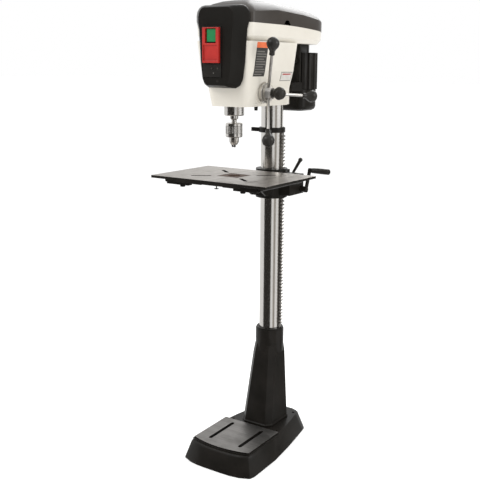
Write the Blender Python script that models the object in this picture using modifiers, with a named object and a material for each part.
"""Floor-standing drill press, built as separate solids with real joint clearances.

Metres, +Z up. The column's axis is the Z axis, the floor is z = 0, the spindle stands in front
(-Y) of the column and the feed handles are on the +X side.
"""
import math

import bmesh
import bpy
from mathutils import Matrix, Vector

# --- clearances -------------------------------------------------------------
gap = 0.0003            # between faces that touch on the real machine
running = 0.0004        # radial clearance of shafts and slides

# --- column, base and pedestal ----------------------------------------------
column_radius = 0.040
column_wall = 0.004
column_top = 1.470
base_half_width = 0.148
base_front = 0.365
base_rear = 0.128
base_height = 0.070
base_taper = 0.020
base_rear_half = 0.106
rib_thickness = 0.012
floor_thickness = 0.014
plate_half_width = 0.119
plate_front = 0.315
plate_bow = 0.020
plate_rear = 0.119
plate_rise = 0.009
plate_slot_spacing = 0.129
plate_slot_width = 0.014
plate_slot_length = 0.152
plate_slot_middle = 0.221
anchor_hole_radius = 0.006
pedestal_half_width = 0.064
pedestal_front = 0.098
pedestal_rear = 0.050
pedestal_corner = 0.020
pedestal_skirt = 0.003
pedestal_shoulder = 0.372
pedestal_top = 0.437
pedestal_neck_radius = column_radius + 0.013
pedestal_wall = 0.009
column_socket_depth = 0.180

# --- rack and its collar ----------------------------------------------------
rack_width = 0.016
rack_back = 0.006
rack_tooth_depth = 0.006
rack_pitch = 0.0125
collar_bottom = column_top - 0.2990
collar_height = 0.018
collar_radius = column_radius + 0.008

# --- table lift bracket -----------------------------------------------------
table_top = 1.038
bracket_top = table_top + 0.002
bracket_height = 0.105
bracket_radius = column_radius + 0.018
lift_pinion_radius = 0.018
lift_wheel_radius = 0.0195
worm_radius = 0.009
worm_y = 0.052
crank_hub_length = 0.022
crank_length = 0.072
crank_lean = 20.0
grip_radius = 0.0105
grip_length = 0.072
clamp_slit = 0.004
lock_y = 0.081

# --- table ------------------------------------------------------------------
throat = 0.240
table_reach = 0.1605
table_back_gap = 0.0215
table_half_width = 0.1366
table_rim = 0.014
wing_rim = 0.009
table_plate = 0.008
wing_plate = 0.0065
wing_width = 0.0937
table_slot_width = 0.013
insert_half_width = 0.042
insert_depth = 0.006
centre_hole_clearance = 0.0015
wing_rod_radius = 0.005
wing_rod_inset = 0.0355
wing_travel = 0.075
tilt_face_y = -bracket_radius - 0.0085
tilt_disc_radius = 0.0375
tilt_bolt_radius = 0.008
seat_depth = 0.012
rim_screw_x = -0.007
rim_screw_y = -0.331
rim_screw_radius = 0.002

# --- head -------------------------------------------------------------------
head_bottom = column_top - 0.1980
head_knee = column_top - 0.1360
head_cheek = column_top - 0.0810
head_shoulder = column_top - 0.1180
head_top = column_top + 0.0137
head_half_width = 0.112
head_cheek_half = 0.098
head_knee_half = 0.083
head_foot_half = 0.074
head_front = 0.305
head_foot_front = 0.285
head_back = 0.014
head_wall = 0.008
feed_boss_x = 0.084
hub_radius = column_radius + 0.020
pan_top = column_top + 0.0710
pan_half_width = 0.112
pan_rear = 0.232
pan_wall = 0.0035
lid_side = 0.0495
lid_crown = 0.0285
lid_peak_y = -0.170
lid_fall_front = 0.83
lid_fall_rear = 0.20
rim_level_y = -0.150
rim_fall = 0.13
lid_front = 0.302
panel_front = 0.345
panel_top = column_top + 0.1260
panel_bottom = column_top - 0.1370

# --- switch -----------------------------------------------------------------
switch_x = -0.012
switch_half_width = 0.036
switch_top = column_top + 0.0580
switch_bottom = column_top - 0.1020
paddle_bottom = column_top - 0.0580
paddle_window_half = 0.021
button_z = column_top + 0.0290

# --- quill, spindle and chuck -----------------------------------------------
quill_radius = 0.0335
quill_bottom = column_top - 0.2290
quill_top = column_top - 0.0120
quill_travel = 0.127
quill_bore = 0.0220
spindle_radius = 0.0110
spindle_nose_radius = 0.0140
spindle_top = column_top + 0.1280
taper_radius = 0.0080
chuck_top = column_top - 0.2540
chuck_radius = 0.0285
chuck_core_radius = 0.0200
chuck_sleeve_bottom = column_top - 0.3010
chuck_nose_bottom = column_top - 0.3270
jaw_radius = 0.0032
jaw_slope = 12.0
jaw_length = 0.034
jaw_travel = 0.008

# --- feed -------------------------------------------------------------------
feed_y = -throat + quill_radius + 0.0150
feed_z = column_top - 0.1530
pinion_tip_radius = 0.0170
feed_shaft_radius = 0.0190
ring_radius = 0.0335
ring_width = 0.014
feed_hub_radius = 0.0280
feed_hub_length = 0.024
handle_reach = 0.177
handle_cone = 0.060
handle_rod_radius = 0.0050
handle_ball_radius = 0.0215
handle_start = 26.0
lock_knob_radius = 0.0215
spring_cap_radius = 0.0310
spring_cap_length = 0.026

# --- belt drive -------------------------------------------------------------
step_height = 0.014
pulley_bottom = column_top + 0.0360
groove_depth = 0.006
belt_thickness = 0.0052
belt_width = 0.0084
belt_steps = 12
spindle_steps = (0.027, 0.036, 0.045, 0.054)
idler_steps = (0.064, 0.055, 0.046, 0.037)
motor_steps = (0.026, 0.035, 0.044, 0.053)
sleeve_radius = 0.0190
sleeve_bottom = column_top - 0.0340
idler_y = -0.045
idler_arm_length = 0.070
idler_pin_radius = 0.007

# --- motor ------------------------------------------------------------------
motor_y = 0.166
motor_radius = 0.078
motor_bore = 0.060
motor_top = column_top - 0.0150
motor_bottom = column_top - 0.1480
motor_fins = 16
cover_bottom = column_top - 0.2270
cover_half_width = 0.062
rotor_radius = 0.045
motor_shaft_radius = 0.0080
shaft_top = column_top + 0.1050
motor_travel = 0.015
mount_back = 0.0850
mount_plate = 0.009
mount_half_width = hub_radius + 0.006
bar_x = column_radius + 0.0115
bar_radius = 0.0070
bar_z = column_top - 0.0450
tension_z = column_top - 0.0750


for leftover in list(bpy.data.objects):
    bpy.data.objects.remove(leftover, do_unlink=True)

scene = bpy.context.scene
parts = bpy.data.collections.new("drill_press")
tools = bpy.data.collections.new("cutters")
scene.collection.children.link(parts)
scene.collection.children.link(tools)


# --- shaping helpers --------------------------------------------------------
def finish(name, colour, roughness, metallic):
    """A plain Principled material."""
    made = bpy.data.materials.new(name)
    made.use_nodes = True
    shader = made.node_tree.nodes["Principled BSDF"]
    shader.inputs["Base Color"].default_value = (*colour, 1.0)
    shader.inputs["Roughness"].default_value = roughness
    shader.inputs["Metallic"].default_value = metallic
    return made


def mesh_from(shape, name):
    """Turn a bmesh into mesh data with its faces pointing out."""
    bmesh.ops.recalc_face_normals(shape, faces=shape.faces)
    data = bpy.data.meshes.new(name)
    shape.to_mesh(data)
    shape.free()
    return data


def box(low, high):
    """An axis-aligned block between two corners."""
    shape = bmesh.new()
    bmesh.ops.create_cube(shape, size=1.0)
    size = [b - a for a, b in zip(low, high)]
    middle = [(a + b) / 2 for a, b in zip(low, high)]
    bmesh.ops.scale(shape, vec=size, verts=shape.verts)
    bmesh.ops.translate(shape, vec=middle, verts=shape.verts)
    return shape


def rod(start, end, radius, sides=16, end_radius=None):
    """A cylinder or cone between two points."""
    start = Vector(start)
    end = Vector(end)
    axis = end - start
    shape = bmesh.new()
    last = radius if end_radius is None else end_radius
    bmesh.ops.create_cone(shape, cap_ends=True, segments=sides, radius1=radius, radius2=last,
                          depth=axis.length)
    turn = axis.to_track_quat("Z", "Y").to_matrix().to_4x4()
    place = Matrix.Translation((start + end) / 2) @ turn
    bmesh.ops.transform(shape, matrix=place, verts=shape.verts)
    return shape


def clear(radius, sides):
    """Corner radius of a faceted hole whose flats still clear a round of this radius."""
    return radius / math.cos(math.pi / sides)


def bore(start, end, radius, sides=16):
    """A cutter for a round hole."""
    return rod(start, end, clear(radius, sides), sides)


def ridged(shape, loop, ridge, flip):
    """Cap a mirrored ring with strips across it, so an arched ring keeps its arch."""
    count = len(loop)
    for k in range(count // 2):
        near = (loop[(ridge + k) % count], loop[(ridge - k) % count])
        far = (loop[(ridge - k - 1) % count], loop[(ridge + k + 1) % count])
        corners = (near + far) if k else (near[0],) + far
        shape.faces.new(tuple(reversed(corners)) if flip else corners)


def loft(rings, closed=False, ridge=None):
    """Skin a run of rings, each the same number of points, capped unless closed on itself."""
    shape = bmesh.new()
    loops = [[shape.verts.new(point) for point in ring] for ring in rings]
    count = len(loops[0])
    pairs = list(zip(loops, loops[1:]))
    if closed:
        pairs.append((loops[-1], loops[0]))
    for lower, upper in pairs:
        for i in range(count):
            j = (i + 1) % count
            shape.faces.new((lower[i], lower[j], upper[j], upper[i]))
    if not closed:
        shape.faces.new(list(reversed(loops[0])))
        if ridge is None:
            shape.faces.new(loops[-1])
        else:
            ridged(shape, loops[-1], ridge, True)
    return shape


def prism(outline, low, high, axis="Z"):
    """A flat outline pushed from low to high along an axis."""
    order = {"Z": lambda a, b, c: (a, b, c), "X": lambda a, b, c: (c, a, b),
             "Y": lambda a, b, c: (a, c, b)}[axis]
    return loft([[order(a, b, level) for a, b in outline] for level in (low, high)])


def rounded(left, right, front, back, radii, steps=4):
    """A rectangle with rounded corners: radii from front left, front right, back right, back left."""
    centres = ((left, front, 1, 1, 180), (right, front, -1, 1, 270),
               (right, back, -1, -1, 0), (left, back, 1, -1, 90))
    points = []
    for (x, y, inward_x, inward_y, begin), radius in zip(centres, radii):
        for k in range(steps + 1):
            angle = math.radians(begin + 90 * k / steps)
            points.append((x + inward_x * radius + radius * math.cos(angle),
                           y + inward_y * radius + radius * math.sin(angle)))
    return points


def gear_outline(radius, depth, teeth, x=0.0, y=0.0):
    """A toothed wheel's outline with flat-topped teeth."""
    points = []
    for k in range(teeth):
        for part, level in ((0.0, 0.0), (0.14, 1.0), (0.42, 1.0), (0.56, 0.0)):
            angle = 2 * math.pi * (k + part) / teeth
            reach = radius - depth + depth * level
            points.append((x + reach * math.cos(angle), y + reach * math.sin(angle)))
    return points


def place(name, shape, material=None, origin=(0, 0, 0), smooth=False, collection=None):
    """Link a shape as an object whose origin is at the given world point."""
    bmesh.ops.translate(shape, vec=-Vector(origin), verts=shape.verts)
    made = bpy.data.objects.new(name, mesh_from(shape, name))
    (collection or parts).objects.link(made)
    made.location = origin
    if material:
        made.data.materials.append(material)
    if smooth:
        made.data.shade_smooth()
        made.data.set_sharp_from_angle(angle=math.radians(35))
    return made


def turned(name, profile, material, origin, axis="Z", sides=24):
    """A turned solid: radius and height pairs, from the top of the outer side round."""
    data = bpy.data.meshes.new(name)
    points = [(radius, 0, height) for radius, height in profile]
    edges = [(k, (k + 1) % len(points)) for k in range(len(points))]
    if profile[0][0] == 0 and profile[-1][0] == 0:
        edges.pop()
    data.from_pydata(points, edges, [])
    made = bpy.data.objects.new(name, data)
    parts.objects.link(made)
    made.location = origin
    made.rotation_euler = {"Z": (0, 0, 0), "X": (0, math.pi / 2, 0),
                           "-X": (0, -math.pi / 2, 0), "Y": (-math.pi / 2, 0, 0)}[axis]
    screw = made.modifiers.new("turn", "SCREW")
    screw.steps = sides
    screw.render_steps = sides
    screw.use_merge_vertices = True
    screw.merge_threshold = 0.00002
    screw.use_smooth_shade = True
    if material:
        data.materials.append(material)
    return made


def combine(target, shape, operation):
    """Add a Boolean whose tool is kept, hidden, in the cutters' collection."""
    tool = shape
    if not isinstance(shape, bpy.types.Object):
        tool = place(target.name + "_tool", shape, collection=tools)
    tool.hide_render = True
    tool.display_type = "WIRE"
    step = target.modifiers.new(operation.lower(), "BOOLEAN")
    step.operation = operation
    step.solver = "EXACT"
    step.object = tool
    return target


def cut(target, *shapes):
    """Take shapes away."""
    for shape in shapes:
        combine(target, shape, "DIFFERENCE")
    return target


def join(target, *shapes):
    """Fuse shapes on."""
    for shape in shapes:
        combine(target, shape, "UNION")
    return target


# --- finishes ---------------------------------------------------------------
black_paint = finish("black_paint", (0.020, 0.020, 0.021), 0.45, 0.0)
cream_paint = finish("cream_paint", (0.76, 0.73, 0.66), 0.40, 0.0)
lid_plastic = finish("lid_plastic", (0.055, 0.050, 0.048), 0.38, 0.0)
panel_plastic = finish("panel_plastic", (0.018, 0.018, 0.020), 0.42, 0.0)
knob_plastic = finish("knob_plastic", (0.030, 0.030, 0.031), 0.40, 0.0)
ground_iron = finish("ground_iron", (0.55, 0.54, 0.52), 0.35, 1.0)
bright_steel = finish("bright_steel", (0.62, 0.61, 0.60), 0.22, 1.0)
cast_aluminium = finish("cast_aluminium", (0.58, 0.57, 0.55), 0.42, 1.0)
red_plastic = finish("red_plastic", (0.62, 0.035, 0.030), 0.38, 0.0)
green_plastic = finish("green_plastic", (0.030, 0.36, 0.13), 0.38, 0.0)
belt_rubber = finish("belt_rubber", (0.028, 0.028, 0.028), 0.75, 0.0)
brown_board = finish("brown_board", (0.145, 0.090, 0.060), 0.75, 0.0)


# --- base -------------------------------------------------------------------
def base_outline(inset, z):
    """Round-fronted footprint that narrows to the rear."""
    wide = base_half_width - inset
    narrow = base_rear_half - inset
    front = -base_front + inset
    back = base_rear - inset
    shoulder = front + 0.045
    points = []
    for k in range(9):
        across = -1 + 2 * k / 8
        points.append((across * (wide - 0.006), front + (shoulder - front - 0.022) * across ** 4))
    points.append((wide, shoulder))
    points.append((wide - 0.003, -0.180))
    points.append((wide - 0.018, -0.060))
    points.append((narrow, back - 0.050))
    for k in range(1, 4):
        angle = math.radians(90 * k / 3)
        points.append((narrow - 0.040 + 0.040 * math.cos(angle), back - 0.050 + 0.050 * math.sin(angle)))
    mirrored = [(-x, y) for x, y in reversed(points[9:])]
    return [(x, y, z) for x, y in points + mirrored]


def plate_outline(grow, z):
    """Work plate's edge: bowed front, square rear."""
    half = plate_half_width + grow
    points = []
    for k in range(9):
        across = -1 + 2 * k / 8
        points.append((across * half, -plate_front - grow - plate_bow * (1 - across ** 2)))
    points += [(half, -plate_rear + grow), (-half, -plate_rear + grow)]
    return [(x, y, z) for x, y in points]


def build_base():
    """Hollow ribbed casting with a raised, slotted work plate."""
    levels = ((0.0, 0.0), (0.0, 0.004), (base_taper - 0.003, base_height - 0.006),
              (base_taper + 0.002, base_height))
    base = place("base", loft([base_outline(inset, z) for inset, z in levels]), black_paint)
    plate_top = base_height + plate_rise
    join(base, loft([plate_outline(0, base_height - 0.010), plate_outline(0, plate_top)]))
    join(base, loft([plate_outline(0.004, base_height - 0.012), plate_outline(0.004, base_height + 0.004)]))
    half_rib = rib_thickness / 2
    side = base_half_width - base_taper - 0.012
    rear_side = base_rear_half - base_taper - 0.006
    ceiling = base_height - floor_thickness
    bays = ((-plate_front - 0.010, -0.235 - half_rib, side - 0.004),
            (-0.235 + half_rib, -0.120 - half_rib, side - 0.008),
            (-0.120 + half_rib, -half_rib, side - 0.026),
            (half_rib, base_rear - 0.045, rear_side - 0.012))
    for front, back, reach in bays:
        for flip in (-1, 1):
            edges = sorted((flip * half_rib, flip * reach))
            cut(base, box((edges[0], front, -0.010), (edges[1], back, ceiling)))
    for flip in (-1, 1):
        x = flip * plate_slot_spacing / 2
        half = plate_slot_width / 2
        slot = rounded(x - half, x + half, -plate_slot_middle - plate_slot_length / 2,
                       -plate_slot_middle + plate_slot_length / 2, (half * 0.98,) * 4, 4)
        cut(base, prism(slot, ceiling - 0.004, plate_top + 0.010))
    for x, y in ((0.098, -0.100), (0.066, 0.076)):
        for flip in (-1, 1):
            cut(base, bore((flip * x, y, ceiling - 0.010), (flip * x, y, base_height + 0.02),
                           anchor_hole_radius, 16))
    return base


# --- pedestal and column ----------------------------------------------------
def pedestal_outline(share, inset, z):
    """Chamfered square, from the wide foot (share 0) to the narrow shoulder (share 1)."""
    half = pedestal_half_width + (0.049 - pedestal_half_width) * share - inset
    front = -(pedestal_front + (0.052 - pedestal_front) * share) + inset
    back = pedestal_rear + (0.049 - pedestal_rear) * share - inset
    corner = max(pedestal_corner - inset * 0.5, 0.004)
    return [(x, y, z) for x, y in rounded(-half, half, front, back, (corner,) * 4, 1)]


def build_pedestal():
    """Tall tapered foot with a bored socket for the column."""
    foot = base_height + gap
    shoulder = pedestal_shoulder
    rings = [pedestal_outline(0, -pedestal_skirt, foot), pedestal_outline(0, -pedestal_skirt, foot + 0.006),
             pedestal_outline(0, 0, foot + 0.010), pedestal_outline(0.94, 0, shoulder - 0.034),
             pedestal_outline(1, 0.004, shoulder)]
    pedestal = place("pedestal", loft(rings), black_paint)
    join(pedestal, rod((0, 0, shoulder - 0.03), (0, 0, pedestal_top - 0.006), pedestal_neck_radius, 24))
    join(pedestal, rod((0, 0, pedestal_top - 0.030), (0, 0, pedestal_top), pedestal_neck_radius - 0.003, 24))
    socket_floor = pedestal_top - column_socket_depth
    cut(pedestal, bore((0, 0, socket_floor), (0, 0, pedestal_top + 0.01), column_radius + gap, 24))
    hollow = [pedestal_outline(0, pedestal_wall, foot - 0.010),
              pedestal_outline(0.50, pedestal_wall, socket_floor - 0.012)]
    cut(pedestal, loft(hollow))
    cut(pedestal, bore((0, 0, socket_floor - 0.020), (0, 0, socket_floor + 0.010), 0.030, 24))
    return pedestal


def build_column():
    """Ground steel tube."""
    low = pedestal_top - column_socket_depth + gap
    inner = column_radius - column_wall
    profile = [(column_radius, column_top - 0.002), (column_radius, low), (inner, low),
               (inner, column_top), (column_radius - 0.002, column_top)]
    return turned("column", profile, bright_steel, (0, 0, 0), sides=24)


def build_collar():
    """Clamp ring that keeps the rack's top end."""
    top = collar_bottom + collar_height
    inner = clear(column_radius + gap, 24)
    profile = [(collar_radius - 0.002, top), (collar_radius, top - 0.002), (collar_radius, collar_bottom),
               (inner, collar_bottom), (inner, top)]
    collar = turned("rack_collar", profile, black_paint, (0, 0, 0))
    ear = column_radius - 0.010
    join(collar, box((-ear - 0.038, -ear - 0.004, collar_bottom + 0.002),
                     (-ear - 0.004, -ear + 0.004, top - 0.002)))
    cut(collar, box((-ear - 0.050, -ear - 0.0012, collar_bottom - 0.01),
                    (-ear + 0.010, -ear + 0.0012, top + 0.01)))
    cut(collar, bore((0, 0, collar_bottom - 0.01), (0, 0, top + 0.01), column_radius + gap, 24))
    return collar


def build_rack():
    """Toothed bar that stands beside the column and turns about it with the bracket."""
    low = pedestal_top + gap
    high = collar_bottom - gap
    inside = column_radius + gap
    back = inside + rack_back
    tip = back + rack_tooth_depth
    outline = [(inside, low), (back, low)]
    teeth = int((high - low - 0.02) / rack_pitch)
    first = table_top - 0.045 - rack_pitch * 0.14 - rack_pitch * int((table_top - 0.055 - low) / rack_pitch)
    for k in range(teeth):
        z = first + k * rack_pitch
        outline += [(back, z), (tip, z + rack_pitch * 0.20), (tip, z + rack_pitch * 0.50),
                    (back, z + rack_pitch * 0.70)]
    outline += [(back, high), (inside, high)]
    rings = [[(x, y, z) for x, z in outline] for y in (-rack_width / 2, rack_width / 2)]
    return place("rack", loft(rings), bright_steel)


# --- table lift bracket -----------------------------------------------------
rack_tip_x = column_radius + gap + rack_back + rack_tooth_depth
lift_axis_x = rack_tip_x + gap + lift_pinion_radius
lift_axis_z = table_top - 0.045
worm_z = lift_axis_z - lift_wheel_radius - worm_radius - gap
bracket_bottom = bracket_top - bracket_height
tilt_z = table_top - 0.055
housing_x = lift_axis_x + lift_wheel_radius + 0.006
crank_x = housing_x + 0.002 + crank_hub_length / 2


def build_bracket():
    """Column clamp with the lift gearing's housing, the tilt face and the split clamp ears."""
    bracket = place("table_bracket", rod((0, 0, bracket_bottom), (0, 0, bracket_top), bracket_radius, 28),
                    black_paint)
    housing_back = worm_y + 0.016
    join(bracket, box((0.036, -0.030, worm_z - 0.016), (housing_x, housing_back, lift_axis_z + 0.027)))
    join(bracket, rod((0, -column_radius + 0.010, tilt_z), (0, tilt_face_y, tilt_z), tilt_disc_radius, 24))
    join(bracket, box((-0.022, 0.040, bracket_bottom + 0.012), (0.022, lock_y + 0.012, bracket_top - 0.012)))
    cut(bracket, bore((0, 0, bracket_bottom - 0.01), (0, 0, bracket_top + 0.01), column_radius + gap, 24))
    cut(bracket, box((0.030, -rack_width / 2 - gap, bracket_bottom - 0.01),
                     (rack_tip_x + gap, rack_width / 2 + gap, bracket_top + 0.01)))
    cut(bracket, box((-clamp_slit / 2, 0.030, bracket_bottom - 0.01),
                     (clamp_slit / 2, lock_y + 0.030, bracket_top + 0.01)))
    clear = 0.0010
    cut(bracket, bore((lift_axis_x, -0.0160, lift_axis_z), (lift_axis_x, 0.0160, lift_axis_z),
                     lift_pinion_radius + clear, 24))
    cut(bracket, bore((lift_axis_x, worm_y - 0.008, lift_axis_z), (lift_axis_x, worm_y + 0.008, lift_axis_z),
                     lift_wheel_radius + clear, 24))
    cut(bracket, bore((lift_axis_x, -0.026, lift_axis_z), (lift_axis_x, worm_y + 0.010, lift_axis_z),
                     0.0062, 16))
    cut(bracket, bore((lift_axis_x - 0.020, worm_y, worm_z), (lift_axis_x + 0.020, worm_y, worm_z),
                     worm_radius + clear, 20))
    cut(bracket, bore((lift_axis_x - 0.026, worm_y, worm_z), (housing_x + 0.02, worm_y, worm_z),
                     0.0064, 16))
    cut(bracket, bore((0, -column_radius + 0.002, tilt_z), (0, tilt_face_y - 0.01, tilt_z),
                      tilt_bolt_radius + gap, 20))
    cut(bracket, bore((-0.040, lock_y, table_top - 0.038), (0.040, lock_y, table_top - 0.038), 0.0054, 16))
    return bracket


def build_lift_gear():
    """Cross shaft with the rack pinion and the worm wheel."""
    at = (lift_axis_x, 0, lift_axis_z)
    teeth = gear_outline(lift_pinion_radius, 0.0055, 9, lift_axis_x, lift_axis_z)
    gear = place("lift_gear", prism(teeth, -0.0150, 0.0150, "Y"), bright_steel, at)
    wheel = gear_outline(lift_wheel_radius, 0.003, 18, lift_axis_x, lift_axis_z)
    join(gear, prism(wheel, worm_y - 0.0072, worm_y + 0.0072, "Y"))
    join(gear, rod((lift_axis_x, -0.024, lift_axis_z), (lift_axis_x, worm_y + 0.009, lift_axis_z), 0.0060,
                   16))
    return gear


def build_worm():
    """Worm on the crank's shaft."""
    length = crank_x - lift_axis_x
    profile = [(0, 0.017)]
    for k in range(5):
        top = 0.016 - k * 0.0064
        profile += [(worm_radius - 0.003, top), (worm_radius, top - 0.0016), (worm_radius, top - 0.0032),
                    (worm_radius - 0.003, top - 0.0048)]
    profile += [(0.0060, -0.017), (0.0060, -0.0245), (0, -0.0245)]
    profile = [(0, length), (0.0058, length), (0.0058, 0.017)] + profile[1:]
    return turned("worm_shaft", profile, bright_steel, (lift_axis_x, worm_y, worm_z), "X", 16)


lean = math.radians(crank_lean)
grip_y = worm_y + crank_length * math.sin(lean)
grip_z = worm_z + crank_length * math.cos(lean)


def build_crank():
    """Crank arm on the worm's shaft and the free-turning grip on its pin."""
    outer = crank_x + crank_hub_length / 2
    arm = place("crank_arm", rod((crank_x - crank_hub_length / 2, worm_y, worm_z), (outer, worm_y, worm_z),
                                 0.011, 24),
                bright_steel, (crank_x, worm_y, worm_z))
    middle_y = (worm_y + grip_y) / 2
    middle_z = (worm_z + grip_z) / 2
    bar = box((outer - 0.007, -0.007, -crank_length / 2), (outer, 0.007, crank_length / 2))
    turn = Matrix.Translation((0, middle_y, middle_z)) @ Matrix.Rotation(-lean, 4, "X")
    bmesh.ops.transform(bar, matrix=turn, verts=bar.verts)
    join(arm, bar)
    join(arm, rod((outer - 0.007, grip_y, grip_z), (outer + 0.006, grip_y, grip_z), 0.0085, 20))
    join(arm, rod((outer, grip_y, grip_z), (outer + 0.006 + grip_length + 0.003, grip_y, grip_z), 0.0040,
                  16))
    cut(arm, bore((crank_x - 0.020, worm_y, worm_z), (crank_x + gap, worm_y, worm_z), 0.0058 + gap, 16))
    inner = clear(0.0040 + running, 24)
    length = grip_length
    profile = [(grip_radius - 0.002, length), (grip_radius, length - 0.003), (grip_radius, length * 0.5),
               (grip_radius - 0.001, 0.003), (grip_radius - 0.003, 0), (inner, 0), (inner, length)]
    start = (outer + 0.006 + gap, grip_y, grip_z)
    grip = turned("crank_grip", profile, knob_plastic, start, "X", 24)
    return arm, grip


def build_column_lock():
    """Lever and bolt that pinch the bracket's split."""
    z = table_top - 0.038
    lever = place("column_lock_lever", rod((0.0225, lock_y, z), (0.040, lock_y, z), 0.0105, 20),
                  bright_steel,
                  (0.030, lock_y, z))
    join(lever, rod((-0.030, lock_y, z), (0.030, lock_y, z), 0.0050, 16))
    join(lever, rod((0.033, lock_y, z), (0.072, lock_y, z + 0.064), 0.0045, 16, 0.0062))
    ball = bmesh.new()
    bmesh.ops.create_uvsphere(ball, u_segments=12, v_segments=8, radius=0.0082)
    bmesh.ops.translate(ball, vec=(0.074, lock_y, z + 0.067), verts=ball.verts)
    join(lever, ball)
    return lever


# --- table ------------------------------------------------------------------
table_front = -throat - table_reach
table_back = -bracket_radius - table_back_gap
rod_z = table_top - table_plate - 0.0095
centre_hole_radius = chuck_core_radius + centre_hole_clearance
seat_step = 0.003
wing_lock_x = table_half_width - 0.014
rod_ys = (table_front + wing_rod_inset, table_back - wing_rod_inset)


def build_table():
    """Slotted centre table with a rim, ribs and sliding-rod bosses underneath."""
    half = table_half_width
    bottom = table_top - table_rim
    table = place("table", box((-half, table_front, bottom), (half, table_back, table_top)), ground_iron,
                  (0, tilt_face_y, tilt_z))
    under = table_top - table_plate
    for low, high in ((table_front + 0.007, -throat - 0.006), (-throat + 0.006, table_back - 0.007)):
        cut(table, box((-half + 0.007, low, bottom - 0.01), (half - 0.007, high, under)))
    join(table, rod((0, -throat, bottom - seat_step), (0, -throat, under + 0.001), 0.062, 24))
    for flip in (-1, 1):
        for y in rod_ys:
            edges = sorted((flip * (half - 0.045), flip * half))
            join(table, box((edges[0], y - 0.011, rod_z - 0.010), (edges[1], y + 0.011, under + 0.001)))
            cut(table, bore((flip * 0.020, y, rod_z), (flip * (half + 0.01), y, rod_z),
                           wing_rod_radius + gap, 16))
        x = flip * wing_lock_x
        cut(table, bore((x, rod_ys[0], rod_z - 0.020), (x, rod_ys[0], rod_z), 0.0033, 12))
    cut(table, bore((rim_screw_x, rim_screw_y, under - 0.01), (rim_screw_x, rim_screw_y, table_top - 0.002),
                    rim_screw_radius + gap, 12))
    hole = insert_half_width + gap
    cut(table, box((-hole, -throat - hole, table_top - insert_depth - gap),
                   (hole, -throat + hole, table_top + 0.01)))
    cut(table, bore((0, -throat, bottom - 0.02), (0, -throat, table_top), centre_hole_radius + 0.001, 20))
    for angle in (39.0, 141.0, 219.0, 321.0):
        along = Vector((math.cos(math.radians(angle)), math.sin(math.radians(angle)), 0))
        slot = rounded(0.076, 0.146, -table_slot_width / 2, table_slot_width / 2,
                       (table_slot_width / 2 * 0.98,) * 4, 4)
        shape = prism(slot, bottom - 0.010, table_top + 0.010)
        spin = Matrix.Translation((0, -throat, 0)) @ along.to_track_quat("X", "Z").to_matrix().to_4x4()
        bmesh.ops.transform(shape, matrix=spin, verts=shape.verts)
        cut(table, shape)
    return table


def build_insert():
    """Replaceable board insert in the table's centre."""
    half = insert_half_width
    low = table_top - insert_depth
    insert = place("table_insert", box((-half, -throat - half, low),
                                       (half, -throat + half, table_top - 0.0004)),
                   brown_board, (0, tilt_face_y, tilt_z))
    return cut(insert, bore((0, -throat, low - 0.01), (0, -throat, table_top + 0.01), centre_hole_radius,
                            20))


def build_wing(flip, side):
    """Extension wing and the two-pronged slide that carries it."""
    inner = table_half_width + gap
    outer = inner + wing_width
    bottom = table_top - wing_rim
    under = table_top - wing_plate
    edges = sorted((flip * inner, flip * outer))
    wing = place("wing_" + side, box((edges[0], table_front, bottom), (edges[1], table_back, table_top)),
                 ground_iron, (flip * inner, -throat, table_top))
    pocket = sorted((flip * (inner + 0.007), flip * (outer - 0.007)))
    cut(wing, box((pocket[0], table_front + 0.007, bottom - 0.01), (pocket[1], table_back - 0.007, under)))
    reach = inner + 0.036
    for y in rod_ys:
        block = sorted((flip * inner, flip * (reach + 0.010)))
        join(wing, box((block[0], y - 0.011, rod_z - 0.010), (block[1], y + 0.011, under + 0.001)))
    end = reach + 0.017
    for y in rod_ys:
        cut(wing, bore((flip * (inner - 0.01), y, rod_z), (flip * (reach + 0.014), y, rod_z),
                      wing_rod_radius + gap, 16))
    start = table_half_width - 0.092
    slide = place("wing_slide_" + side, rod((flip * start, rod_ys[0], rod_z), (flip * end, rod_ys[0], rod_z),
                                            wing_rod_radius, 16), bright_steel,
                  (flip * start, -throat, rod_z))
    join(slide, rod((flip * start, rod_ys[1], rod_z), (flip * end, rod_ys[1], rod_z), wing_rod_radius, 16))
    join(slide, rod((flip * end, rod_ys[0] - 0.005, rod_z), (flip * end, rod_ys[1] + 0.005, rod_z),
                    wing_rod_radius + 0.0002, 16))
    return wing, slide


def build_wing_lock(flip, side):
    """Thumb knob that locks the wing's front rod."""
    x = flip * wing_lock_x
    top = rod_z - wing_rod_radius - gap
    profile = [(0, top), (0.0030, top), (0.0030, rod_z - 0.0108), (0.0085, rod_z - 0.0112),
               (0.0090, rod_z - 0.0122), (0.0090, rod_z - 0.0155), (0.0070, rod_z - 0.0170),
               (0, rod_z - 0.0170)]
    profile = [(radius, z - rod_z) for radius, z in profile]
    return turned("wing_lock_" + side, profile, black_paint, (x, rod_ys[0], rod_z), sides=16)


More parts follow.
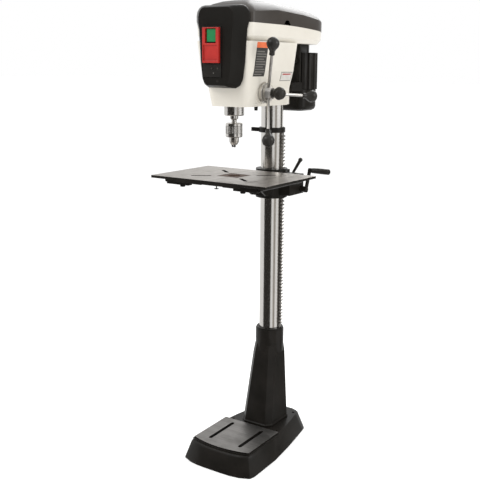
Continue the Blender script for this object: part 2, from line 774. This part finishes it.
def build_table_arm():
    """Knee that carries the table and clamps to the bracket's round tilt face."""
    face = tilt_face_y - gap
    arm = place("table_arm", rod((0, face, tilt_z), (0, face - 0.014, tilt_z), tilt_disc_radius, 24),
                black_paint, (0, tilt_face_y, tilt_z))
    seat = table_top - table_rim - seat_step - gap
    front = -throat + 0.030
    beam = [(face - 0.004, tilt_z - 0.036), (face - 0.020, tilt_z - 0.034), (face - 0.090, seat - 0.020),
            (front, seat - seat_depth), (front, seat), (face - 0.004, seat)]
    join(arm, prism(beam, -0.034, 0.034, "X"))
    join(arm, rod((0, -throat, seat - seat_depth), (0, -throat, seat), 0.058, 24))
    room = [(face - 0.014, tilt_z - 0.060), (front + 0.004, tilt_z - 0.060), (front + 0.004, seat - 0.008),
            (face - 0.014, seat - 0.008)]
    cut(arm, prism(room, -0.026, 0.026, "X"))
    cut(arm, bore((0, -throat, seat - 0.030), (0, -throat, seat + 0.01), centre_hole_radius + 0.002, 20))
    cut(arm, bore((0, face + 0.01, tilt_z), (0, face - 0.030, tilt_z), tilt_bolt_radius + gap, 20))
    return arm


def build_rim_screw():
    """Small screw with a disc head that hangs below the table's front edge."""
    top = table_top - 0.002 - gap
    low = table_top - 0.036
    profile = [(0, top), (rim_screw_radius, top), (rim_screw_radius, low + 0.002), (0.0078, low + 0.0016),
               (0.0078, low), (0, low)]
    profile = [(radius, z - low) for radius, z in profile]
    return turned("rim_screw", profile, bright_steel, (rim_screw_x, rim_screw_y, low), sides=16)


def build_tilt_bolt():
    """Hexagon bolt that clamps the table's tilt."""
    head = tilt_face_y - gap - 0.014 - gap
    bolt = place("tilt_bolt", rod((0, -column_radius - 0.002, tilt_z), (0, head - 0.002, tilt_z),
                                  tilt_bolt_radius, 20),
                 bright_steel, (0, tilt_face_y, tilt_z))
    join(bolt, rod((0, head, tilt_z), (0, head - 0.010, tilt_z), 0.0145, 6))
    return bolt


# --- head -------------------------------------------------------------------
head_sections = ((head_bottom, head_foot_half, head_foot_front, 0.030),
                 (head_knee, head_knee_half, 0.290, 0.026),
                 (head_cheek, head_cheek_half, 0.302, 0.018), (head_top, head_half_width, head_front, 0.016))


def head_half_at(z):
    """Half width of the casting at a height."""
    for (low, first, _, _), (high, second, _, _) in zip(head_sections, head_sections[1:]):
        if z <= high:
            return first + (second - first) * max(z - low, 0.0) / (high - low)
    return head_half_width


def build_head():
    """Main casting: quill housing, pinion bore and column hub."""
    rings = []
    for z, half, front, corner in head_sections:
        outline = rounded(-half, half, -front, -head_back, (corner, corner, 0.010, 0.010), 5)
        rings.append([(x, y, z) for x, y in outline])
    head = place("head_casting", loft(rings), cream_paint)
    join(head, rod((0, 0, head_bottom), (0, 0, head_top), hub_radius, 28))
    for flip in (-1, 1):
        boss = rod((flip * 0.060, feed_y, feed_z), (flip * feed_boss_x, feed_y, feed_z), ring_radius + 0.002,
                   28)
        join(head, boss)
        cut(head, rod((flip * feed_boss_x, feed_y, feed_z), (flip * 0.13, feed_y, feed_z),
                      ring_radius + 0.003, 28))
    cut(head, bore((0, 0, head_bottom - 0.01), (0, 0, column_top + gap), column_radius + gap, 24))
    cut(head, bore((0, -throat, head_bottom - 0.01), (0, -throat, head_top + 0.01), quill_radius + gap, 28))
    cut(head, bore((-0.12, feed_y, feed_z), (0.12, feed_y, feed_z), feed_shaft_radius + gap, 24))
    floor = head_shoulder + 0.022
    low_wall = head_half_at(floor) - head_wall
    wall = head_half_width - head_wall
    rear = -hub_radius - 0.008
    cut(head, loft([[(-half, -0.190, z), (half, -0.190, z), (half, rear, z), (-half, rear, z)]
                    for half, z in ((low_wall, floor), (wall, head_top + 0.01))]))
    for flip in (-1, 1):
        inner = flip * (quill_radius + 0.009)
        rings = []
        for half, z in ((low_wall, floor), (wall, head_top + 0.01)):
            near, far = sorted((inner, flip * half))
            rings.append([(near, -head_front + 0.030, z), (far, -head_front + 0.030, z),
                          (far, -0.188, z), (near, -0.188, z)])
        cut(head, loft(rings))
        cut(head, bore((flip * bar_x, 0.060, bar_z), (flip * bar_x, -0.045, bar_z), bar_radius + gap, 16))
    cut(head, bore((-idler_arm_length, idler_y, head_top - 0.020),
                   (-idler_arm_length, idler_y, head_top + 0.01),
                   idler_pin_radius + gap))
    cut(head, bore((-0.120, 0, tension_z), (-0.0475, 0, tension_z), 0.0060 + gap, 16))
    return head


def pan_outline(inset, z, front=-head_front):
    """Footprint of the belt housing: square front, round rear."""
    half = pan_half_width - inset
    middle = pan_rear - pan_half_width
    points = []
    for k in range(13):
        angle = math.radians(180 * k / 12)
        points.append((half * math.cos(angle), middle + half * math.sin(angle)))
    points += [(-half, middle * 0.2), (-half, rim_level_y)]
    points += rounded(-half, half, front + inset, middle, (0.016,) * 4, 3)[:8]
    points += [(half, rim_level_y), (half, middle * 0.2)]
    return [(x, y, z) for x, y in points]


def rim_line(shift, far_z):
    """Side view of everything above or below the joint between tray and lid, which droops at the rear."""
    low = pan_top + shift
    points = [(-0.40, low), (rim_level_y, low)]
    for k in range(1, 9):
        away = (pan_rear + 0.010 - rim_level_y) * k / 8
        points.append((rim_level_y + away, low - rim_fall * away * away))
    points += [(pan_rear + 0.010, far_z), (-0.40, far_z)]
    return points if far_z > low else list(reversed(points))


def build_pan():
    """Tray that holds the belts, fixed on top of the casting."""
    floor = head_top + gap
    pan = place("belt_pan", loft([pan_outline(0.014, floor), pan_outline(0.002, floor + 0.016),
                                  pan_outline(0, pan_top + 0.002)]), cream_paint)
    inner = [pan_outline(0.018, floor + 0.005), pan_outline(0.002 + pan_wall, floor + 0.018),
             pan_outline(pan_wall, pan_top + 0.010)]
    cut(pan, prism(rim_line(0.0, pan_top + 0.05), -0.2, 0.2, "X"))
    cut(pan, loft(inner))
    cut(pan, bore((0, -throat, floor - 0.01), (0, -throat, floor + 0.03), sleeve_radius + 0.002, 24))
    slot = rounded(-0.016, 0.016, motor_y - motor_travel - 0.016, motor_y + 0.016, (0.0155,) * 4, 4)
    cut(pan, prism(slot, floor - 0.01, floor + 0.02))
    cut(pan, bore((-idler_arm_length, idler_y, floor - 0.01), (-idler_arm_length, idler_y, floor + 0.03),
                  idler_pin_radius + gap, 16))
    return pan


def lid_outline(inset, rise):
    """Lid section at a rise above the arched line where its crown starts."""
    points = []
    for x, y, _ in pan_outline(inset, 0.0, -lid_front):
        away = y - lid_peak_y
        fall = lid_fall_front if away < 0 else lid_fall_rear
        points.append((x, y, pan_top + lid_side - fall * away * away + rise))
    return points


def build_lid():
    """Crowned belt cover, hinged along its left side."""
    levels = ((0.0, -0.004), (0.004, 0.001), (0.016, lid_crown * 0.36), (0.036, lid_crown * 0.68),
              (0.060, lid_crown * 0.90), (0.086, lid_crown))
    low = pan_top - 0.040
    thick = 0.003
    rings = [pan_outline(0.0, low, -lid_front)] + [lid_outline(*level) for level in levels]
    lid = place("lid", loft(rings, ridge=6), lid_plastic, (-pan_half_width, 0, pan_top + gap))
    inner = [pan_outline(thick, low - 0.010, -lid_front)]
    inner += [lid_outline(inset + thick, rise - thick) for inset, rise in levels]
    cut(lid, loft(inner, ridge=6))
    cut(lid, prism(rim_line(gap, pan_top - 0.10), -0.2, 0.2, "X"))
    notch_z = pan_top - 0.006
    cut(lid, rod((pan_half_width - 0.006, -0.088, notch_z), (pan_half_width + 0.02, -0.088, notch_z), 0.022,
                 24))
    return lid


def build_front_panel():
    """Black nose that carries the switch."""
    outline = [(-0.053, panel_bottom), (0.053, panel_bottom), (0.070, panel_bottom + 0.009),
               (0.080, panel_bottom + 0.028), (0.088, panel_bottom + 0.081), (0.092, panel_bottom + 0.142),
               (0.096, panel_bottom + 0.187), (0.104, pan_top + 0.004), (0.104, pan_top + 0.021)]
    corner = 0.034
    for k in range(1, 5):
        angle = math.radians(90 * k / 4)
        outline.append((0.104 - corner + corner * math.cos(angle),
                        panel_top - corner + corner * math.sin(angle)))
    for x, z in list(reversed(outline))[:-2]:
        outline.append((-x, z))
    back = -lid_front - gap
    middle_z = (panel_top + panel_bottom) / 2
    rings = []
    for y, share, tall in ((-panel_front, 0.66, 0.93), (-panel_front + 0.011, 0.76, 0.965),
                           (-head_front - 0.011, 0.93, 0.99), (-head_front - 0.002, 1.0, 1.0),
                           (-lid_front + 0.010, 1.0, 1.0)):
        rings.append([(x * share, y, middle_z + (z - middle_z) * tall) for x, z in outline])
    panel = place("front_panel", loft(list(reversed(rings))), panel_plastic)
    cut(panel, box((-0.15, -head_front - gap, panel_bottom - 0.05), (0.15, 0, pan_top + gap)))
    cut(panel, box((-0.15, back, pan_top - 0.02), (0.15, 0, panel_top + 0.05)))
    room = gap
    cut(panel, box((switch_x - switch_half_width - room, -panel_front - 0.02, switch_bottom - room),
                   (switch_x + switch_half_width + room, -head_front - gap + 0.001, switch_top + room)))
    return panel


# --- switch -----------------------------------------------------------------
switch_face = -panel_front - 0.003
paddle_hinge = (switch_x, switch_face - 0.004, switch_top - 0.008)


def build_switch():
    """Switch housing, the red stop paddle over it and the green start button."""
    left = switch_x - switch_half_width
    right = switch_x + switch_half_width
    back = -head_front - gap
    housing = place("switch_box", box((left, switch_face, switch_bottom), (right, back - gap, switch_top)),
                    panel_plastic)
    cut(housing, box((left + 0.0030, switch_face - 0.01, paddle_bottom),
                     (right - 0.0030, switch_face + 0.0080, switch_top - 0.0030)))
    half = paddle_window_half - 0.004
    cut(housing, box((switch_x - half - gap, switch_face, button_z - 0.020 - gap),
                     (switch_x + half + gap, back - 0.004, button_z + 0.020 + gap)))
    outer_y = switch_face - 0.0090
    inner_y = switch_face + 0.0010
    paddle = place("stop_paddle", box((left + 0.0036, outer_y, paddle_bottom + 0.0008),
                                      (right - 0.0036, inner_y, switch_top - 0.0040)), red_plastic,
                   paddle_hinge)
    window = paddle_window_half
    cut(paddle, box((switch_x - window, outer_y - 0.01, button_z - 0.024),
                    (switch_x + window, inner_y + 0.01, button_z + 0.022)))
    cut(paddle, box((left + 0.0080, outer_y - 0.01, paddle_bottom + 0.008),
                    (right - 0.0080, outer_y + 0.0035, button_z - 0.030)))
    button = place("start_button", box((switch_x - half, switch_face - 0.0040, button_z - 0.020),
                                       (switch_x + half, switch_face + 0.010, button_z + 0.020)),
                   green_plastic, (switch_x, switch_face, button_z))
    return housing, paddle, button


# --- quill, spindle and chuck -----------------------------------------------
def build_quill():
    """Sliding quill with its rack cut in the back."""
    low = quill_bottom
    inner = clear(quill_bore, 24)
    profile = [(quill_radius, quill_top - 0.002), (quill_radius, low + 0.003), (quill_radius - 0.002, low),
               (spindle_nose_radius + 0.0015, low), (spindle_nose_radius + 0.0015, low + 0.010),
               (inner, low + 0.010), (inner, quill_top), (quill_radius - 0.002, quill_top)]
    quill = turned("quill", profile, bright_steel, (0, -throat, 0), sides=24)
    flat_y = feed_y - pinion_tip_radius - gap
    cut(quill, box((-0.011, flat_y, low + 0.045), (0.011, flat_y + 0.05, quill_top + 0.01)))
    pitch = 0.0092
    for k in range(15):
        z = low + 0.052 + k * pitch
        cut(quill, box((-0.012, flat_y - 0.0032, z), (0.012, flat_y + 0.01, z + pitch * 0.5)))
    return quill


def build_spindle():
    """Spindle with its splined top and tapered nose."""
    low = chuck_top - 0.022
    bearing = quill_bore - gap
    seat = spindle_radius + 0.0018
    top_bearing = (quill_top - 0.028, quill_top - 0.040)
    low_bearing = (quill_bottom + 0.037, quill_bottom + 0.010 + gap)
    profile = [(0, spindle_top), (spindle_radius - 0.001, spindle_top),
               (spindle_radius, spindle_top - 0.002),
               (spindle_radius, top_bearing[0]), (seat, top_bearing[0]), (seat, top_bearing[1]),
               (bearing, top_bearing[1]), (bearing, top_bearing[1] - 0.014), (seat, top_bearing[1] - 0.014),
               (seat, low_bearing[0]), (bearing, low_bearing[0]), (bearing, low_bearing[1]),
               (spindle_nose_radius, low_bearing[1]), (spindle_nose_radius, quill_bottom - 0.010),
               (taper_radius + 0.001, quill_bottom - 0.014), (taper_radius, low), (0, low)]
    return turned("spindle", profile, bright_steel, (0, -throat, 0), sides=24)


def build_chuck():
    """Keyed chuck: body, geared outer sleeve and three sliding jaws."""
    socket = taper_radius + 0.0012
    neck_z = chuck_nose_bottom + 0.026 - 0.0005
    core = chuck_core_radius
    tip = 0.0105
    profile = [(core, chuck_top), (core, neck_z), (core - 0.0035, neck_z - 0.001),
               (core - 0.0035, chuck_nose_bottom + 0.010), (tip, chuck_nose_bottom),
               (0.0050, chuck_nose_bottom),
               (0.0050, chuck_top - 0.026), (socket, chuck_top - 0.026), (socket, chuck_top)]
    body = turned("chuck_body", profile, bright_steel, (0, -throat, 0), sides=24)
    low = chuck_sleeve_bottom
    top = chuck_top
    inner = clear(core + running, 24)
    profile = [(chuck_radius - 0.003, top), (chuck_radius, top - 0.003), (chuck_radius, top - 0.006),
               (chuck_radius - 0.001, top - 0.007), (chuck_radius - 0.001, low + 0.009),
               (chuck_radius, low + 0.008),
               (chuck_radius, low + 0.002), (chuck_radius - 0.003, low), (inner, low), (inner, top)]
    sleeve = turned("chuck_sleeve", profile, bright_steel, (0, -throat, 0), sides=24)
    slope = math.radians(jaw_slope)
    jaws = []
    for k in range(3):
        angle = math.radians(90 + 120 * k)
        out = Vector((math.cos(angle), math.sin(angle), 0))
        axis = Vector((0, 0, 1)) * math.cos(slope) + out * math.sin(slope)
        foot = Vector((0, -throat, chuck_nose_bottom - 0.008)) + out * 0.0040
        head = foot + axis * jaw_length
        cut(body, bore(foot - axis * 0.01, head + axis * (jaw_travel + 0.002), jaw_radius + gap, 12))
        jaws.append(place("chuck_jaw_%d" % (k + 1), rod(foot, head, jaw_radius, 12), bright_steel, foot))
    return body, sleeve, jaws


# --- feed -------------------------------------------------------------------
side_x = feed_boss_x
hub_x = side_x + gap + ring_width + gap


def build_pinion_shaft():
    """Feed shaft with pinion teeth in its middle."""
    left = -side_x - 0.018
    right = hub_x + feed_hub_length - 0.006
    radius = feed_shaft_radius
    shaft = place("pinion_shaft", rod((left, feed_y, feed_z), (right, feed_y, feed_z), 0.0085, 20),
                  bright_steel, (0, feed_y, feed_z))
    join(shaft, rod((0.021, feed_y, feed_z), (side_x - gap, feed_y, feed_z), radius, 28))
    join(shaft, rod((-side_x + gap, feed_y, feed_z), (-0.021, feed_y, feed_z), radius, 28))
    outline = gear_outline(pinion_tip_radius, 0.0035, 12, feed_y, feed_z)
    join(shaft, prism(outline, -0.0205, 0.0205, "X"))
    return shaft


def build_feed_hub():
    """Hub, its three handles with balls, the depth ring and the lock knob."""
    at = (hub_x, feed_y, feed_z)
    length = feed_hub_length
    inner = clear(0.0085 + gap, 24)
    profile = [(feed_hub_radius - 0.010, length), (feed_hub_radius - 0.002, length - 0.012),
               (feed_hub_radius, length - 0.016), (feed_hub_radius, 0), (inner, 0), (inner, length - 0.005),
               (0.0045, length - 0.005), (0.0045, length)]
    hub = turned("feed_hub", profile, cast_aluminium, at, "X", 24)
    ring_bore = clear(0.0085 + running, 24)
    profile = [(ring_radius, ring_width), (ring_radius, 0.003), (ring_radius - 0.002, 0), (ring_bore, 0),
               (ring_bore, ring_width)]
    ring = turned("depth_ring", profile, cast_aluminium, (side_x + gap, feed_y, feed_z), "X", 24)
    knob_at = (hub_x + length + gap, feed_y, feed_z)
    radius = lock_knob_radius
    profile = [(0, 0.045), (radius * 0.55, 0.043), (radius * 0.86, 0.036), (radius, 0.026), (radius, 0.020),
               (radius * 0.80, 0.013), (0.0130, 0.009), (0.0130, 0), (0.0040, 0), (0.0040, -0.004),
               (0, -0.004)]
    knob = turned("depth_lock_knob", profile, knob_plastic, knob_at, "X", 28)
    made = [hub, ring, knob]
    for k in range(3):
        angle = math.radians(handle_start + 120 * k)
        out = Vector((0, -math.sin(angle), math.cos(angle)))
        root = Vector((hub_x + length * 0.45, feed_y, feed_z)) + out * (feed_hub_radius - 0.011)
        tip = Vector((hub_x + length * 0.45 + handle_cone, feed_y, feed_z)) + out * handle_reach
        along = (tip - root).normalized()
        cut(hub, bore(root - along * 0.004, root + along * 0.05, handle_rod_radius + gap, 16))
        rod_end = tip - along * 0.012
        made.append(place("feed_rod_%d" % (k + 1), rod(root, rod_end, handle_rod_radius, 16), bright_steel,
                          root))
        ball = handle_ball_radius
        neck = -0.040
        profile = [(0, ball * 0.92), (ball * 0.50, ball * 0.80), (ball * 0.86, ball * 0.48),
                   (ball, 0), (ball * 0.88, -ball * 0.46), (ball * 0.56, -ball * 0.98),
                   (0.0088, neck * 0.72), (0.0095, neck), (handle_rod_radius + gap, neck),
                   (handle_rod_radius + gap, -0.012 + gap), (0, -0.012 + gap)]
        grip = turned("feed_knob_%d" % (k + 1), profile, knob_plastic, tip, "Z", 16)
        grip.rotation_euler = along.to_track_quat("Z", "Y").to_euler()
        made.append(grip)
    return made


def build_return_spring():
    """Cap on the left side and the flat coil spring inside it."""
    start = -side_x - gap
    radius = spring_cap_radius
    length = spring_cap_length
    profile = [(0, length), (radius - 0.003, length), (radius, length - 0.003), (radius, 0),
               (radius - 0.004, 0), (radius - 0.004, length - 0.004), (0, length - 0.004)]
    cap = turned("spring_cap", profile, black_paint, (start, feed_y, feed_z), "-X", 24)
    width = 0.011
    turns = 2
    inner = 0.0115
    outer = radius - 0.006
    thick = 0.0008
    steps = 14 * turns
    path = []
    for k in range(steps + 1):
        angle = 2 * math.pi * turns * k / steps
        reach = inner + (outer - inner) * k / steps
        path.append((reach * math.cos(angle), reach * math.sin(angle)))
    outside = [(y * (1 + thick / math.hypot(y, z)), z * (1 + thick / math.hypot(y, z))) for y, z in path]
    outline = [(feed_y + y, feed_z + z) for y, z in path + list(reversed(outside))]
    spring = place("return_spring", prism(outline, start - 0.003 - width, start - 0.003, "X"), bright_steel,
                   (start, feed_y, feed_z))
    return cap, spring


# --- belt drive -------------------------------------------------------------
def pulley_profile(steps, shaft, hub_low, hub_radius):
    """Stepped V pulley: steps from the bottom up."""
    top = pulley_bottom + step_height * len(steps)
    down = []
    for k in reversed(range(len(steps))):
        low = pulley_bottom + k * step_height
        radius = steps[k]
        down += [(radius, low + step_height), (radius - groove_depth, low + step_height * 0.68),
                 (radius - groove_depth, low + step_height * 0.32), (radius, low)]
    inner = clear(shaft, 18)
    return [(inner + 0.006, top + 0.006), (inner + 0.006, top)] + down + [
        (hub_radius, pulley_bottom), (hub_radius, hub_low), (inner, hub_low), (inner, top + 0.006)]


def build_pulleys():
    """Spindle pulley with its drive sleeve, idler pulley on its arm, and motor pulley."""
    spindle = turned("spindle_pulley", pulley_profile(spindle_steps, spindle_radius + running, sleeve_bottom,
                                                      sleeve_radius), cast_aluminium, (0, -throat, 0),
                     sides=18)
    pin = idler_pin_radius
    idler = turned("idler_pulley", pulley_profile(idler_steps, pin + running, pulley_bottom - 0.001, 0.014),
                   cast_aluminium, (0, idler_y, 0), sides=18)
    floor = head_top + gap + 0.005 + gap
    arm_top = pulley_bottom - 0.001 - gap
    shape = rounded(-idler_arm_length - 0.013, 0.013, idler_y - 0.013, idler_y + 0.013, (0.0125,) * 4, 4)
    arm = place("idler_arm", prism(shape, floor + 0.001, arm_top), black_paint,
                (-idler_arm_length, idler_y, floor))
    join(arm, rod((0, idler_y, arm_top - 0.002), (0, idler_y, pulley_bottom + step_height * 4 + 0.009), pin,
                  16))
    join(arm, rod((-idler_arm_length, idler_y, floor + 0.003),
                  (-idler_arm_length, idler_y, head_top - 0.012),
                  pin, 16))
    motor = turned("motor_pulley", pulley_profile(motor_steps, motor_shaft_radius + gap,
                                                  pulley_bottom - 0.004,
                                                  0.014), cast_aluminium, (0, motor_y, 0), sides=18)
    return spindle, idler, arm, motor


def belt(name, start_y, start_radius, end_y, end_radius, level):
    """V belt round two pulleys on the Y axis, resting in the grooves of one level."""
    distance = end_y - start_y
    tilt = math.asin((start_radius - end_radius) / distance)
    middle = pulley_bottom + step_height * (level + 0.5)
    arcs = ((start_y, start_radius, math.pi - tilt, 2 * math.pi + tilt),
            (end_y, end_radius, tilt, math.pi - tilt))
    path = []
    for y, step_radius, begin, end in arcs:
        radius = clear(step_radius - groove_depth, 2 * belt_steps - 2)
        for k in range(belt_steps + 1):
            angle = begin + (end - begin) * k / belt_steps
            path.append((radius, math.cos(angle), math.sin(angle), y))
    shape_points = ((gap * 2, -belt_width * 0.24), (belt_thickness, -belt_width / 2),
                    (belt_thickness, belt_width / 2), (gap * 2, belt_width * 0.24))
    rings = []
    for radius, across, forward, y in path:
        rings.append([((radius + out) * across, y + (radius + out) * forward, middle + up)
                      for out, up in shape_points])
    return place(name, loft(rings, closed=True), belt_rubber)


# --- motor ------------------------------------------------------------------
def build_motor():
    """Ribbed motor, its lower cover, its sliding mount and the rotor."""
    outline = []
    for k in range(motor_fins):
        for part, reach in ((0.0, motor_radius), (0.36, motor_radius), (0.50, motor_radius - 0.006),
                            (0.86, motor_radius - 0.006)):
            angle = 2 * math.pi * (k + part) / motor_fins
            outline.append((reach * math.cos(angle), motor_y + reach * math.sin(angle)))
    body = place("motor_body", prism(outline, motor_bottom, motor_top), black_paint, (0, motor_y, motor_top))
    cut(body, bore((0, motor_y, motor_bottom - 0.01), (0, motor_y, motor_top - 0.010), motor_bore, 28))
    cut(body, bore((0, motor_y, motor_top - 0.02), (0, motor_y, motor_top + 0.01),
                   motor_shaft_radius + running, 20))
    join(body, rod((0, motor_y, motor_bottom + 0.014), (0, motor_y, motor_top - 0.024), motor_bore + 0.002,
                   28))
    cut(body, bore((0, motor_y, motor_bottom), (0, motor_y, motor_top - 0.012), rotor_radius + 0.0012, 28))

    half = cover_half_width
    top = motor_bottom - gap
    rings = []
    for z, inset, corner in ((cover_bottom, 0.014, 0.022), (cover_bottom + 0.006, 0.004, 0.026),
                             (cover_bottom + 0.016, 0.0, 0.030), (top, 0.0, 0.030)):
        rings.append([(x, y, z) for x, y in rounded(-half + inset, half - inset, motor_y - half + inset,
                                                    motor_y + half - inset, (corner,) * 4, 4)])
    cover = place("motor_cover", loft(rings), black_paint, (0, motor_y, top))
    cut(cover, bore((0, motor_y, cover_bottom + 0.005), (0, motor_y, top + 0.01), half - 0.007, 28))

    low = cover_bottom + 0.010
    profile = [(0, shaft_top), (motor_shaft_radius, shaft_top - 0.002),
               (motor_shaft_radius, motor_top - 0.020),
               (rotor_radius, motor_top - 0.026), (rotor_radius, motor_bottom + 0.016),
               (motor_shaft_radius, motor_bottom + 0.012), (motor_shaft_radius, motor_bottom - 0.012),
               (0.046, motor_bottom - 0.012), (0.046, motor_bottom - 0.028),
               (motor_shaft_radius, motor_bottom - 0.028),
               (motor_shaft_radius, low), (0, low)]
    rotor = turned("motor_rotor", profile, bright_steel, (0, motor_y, 0), sides=24)

    back = mount_back
    front = back - mount_plate
    half = mount_half_width
    flange_top = head_top - gap
    flange_low = motor_top + gap
    mount = place("motor_mount", box((-half, front, motor_bottom - 0.004), (half, back, flange_top)),
                  black_paint,
                  (0, front, bar_z))
    join(mount, box((-0.050, front + 0.002, flange_low), (0.050, motor_y - 0.012, flange_top)))
    join(mount, rod((0, motor_y, flange_low), (0, motor_y, flange_top), 0.046, 24))
    cut(mount, bore((0, motor_y, flange_low - 0.01), (0, motor_y, flange_top + 0.01), 0.016, 24))
    cut(mount, bore((0, motor_y, motor_bottom - 0.05), (0, motor_y, motor_top), motor_radius + gap, 28))
    for flip in (-1, 1):
        edges = sorted((flip * (half - 0.0025), flip * (half + 0.0065)))
        join(mount, box((edges[0], 0.010, motor_bottom - 0.004),
                        (edges[1], back - 0.001, motor_bottom + 0.026)))
        join(mount, rod((flip * bar_x, -0.028, bar_z), (flip * bar_x, back - 0.002, bar_z), bar_radius, 16))
    return body, cover, rotor, mount


def build_tension_lever():
    """Lever that slides the motor to slacken the belts."""
    start = -hub_radius - 0.0006
    lever = place("tension_lever", rod((start, 0, tension_z), (start - 0.014, 0, tension_z), 0.0125, 20),
                  knob_plastic, (start, 0, tension_z))
    join(lever, rod((start + 0.011, 0, tension_z), (start - 0.010, 0, tension_z), 0.0060, 16))
    join(lever, rod((start - 0.008, 0, tension_z), (start - 0.030, 0.004, tension_z - 0.060), 0.0052, 16))
    grip = bmesh.new()
    bmesh.ops.create_uvsphere(grip, u_segments=12, v_segments=8, radius=0.0110)
    bmesh.ops.translate(grip, vec=(start - 0.033, 0.0045, tension_z - 0.067), verts=grip.verts)
    join(lever, grip)
    return lever


def build_aiming_light():
    """Small light under the head's right side."""
    top = head_bottom - gap
    return place("aiming_light", rod((0.064, -0.204, top), (0.064, -0.204, top - 0.013), 0.0065, 20, 0.0055),
                 black_paint, (0.064, -0.204, top))


build_base()
build_pedestal()
build_column()
build_collar()
build_rack()
build_bracket()
build_lift_gear()
build_worm()
build_crank()
build_column_lock()
build_table()
build_insert()
for direction, side_name in ((-1, "left"), (1, "right")):
    build_wing(direction, side_name)
    build_wing_lock(direction, side_name)
build_table_arm()
build_tilt_bolt()
build_rim_screw()
build_aiming_light()
build_head()
build_pan()
build_lid()
build_front_panel()
build_switch()
build_quill()
build_spindle()
build_chuck()
build_pinion_shaft()
build_feed_hub()
build_return_spring()
build_pulleys()
belt("belt_front", -throat, spindle_steps[3], idler_y, idler_steps[3], 3)
belt("belt_rear", idler_y, idler_steps[0], motor_y, motor_steps[0], 0)
build_motor()
build_tension_lever()

bpy.context.view_layer.update()
print("objects:", len(parts.objects))
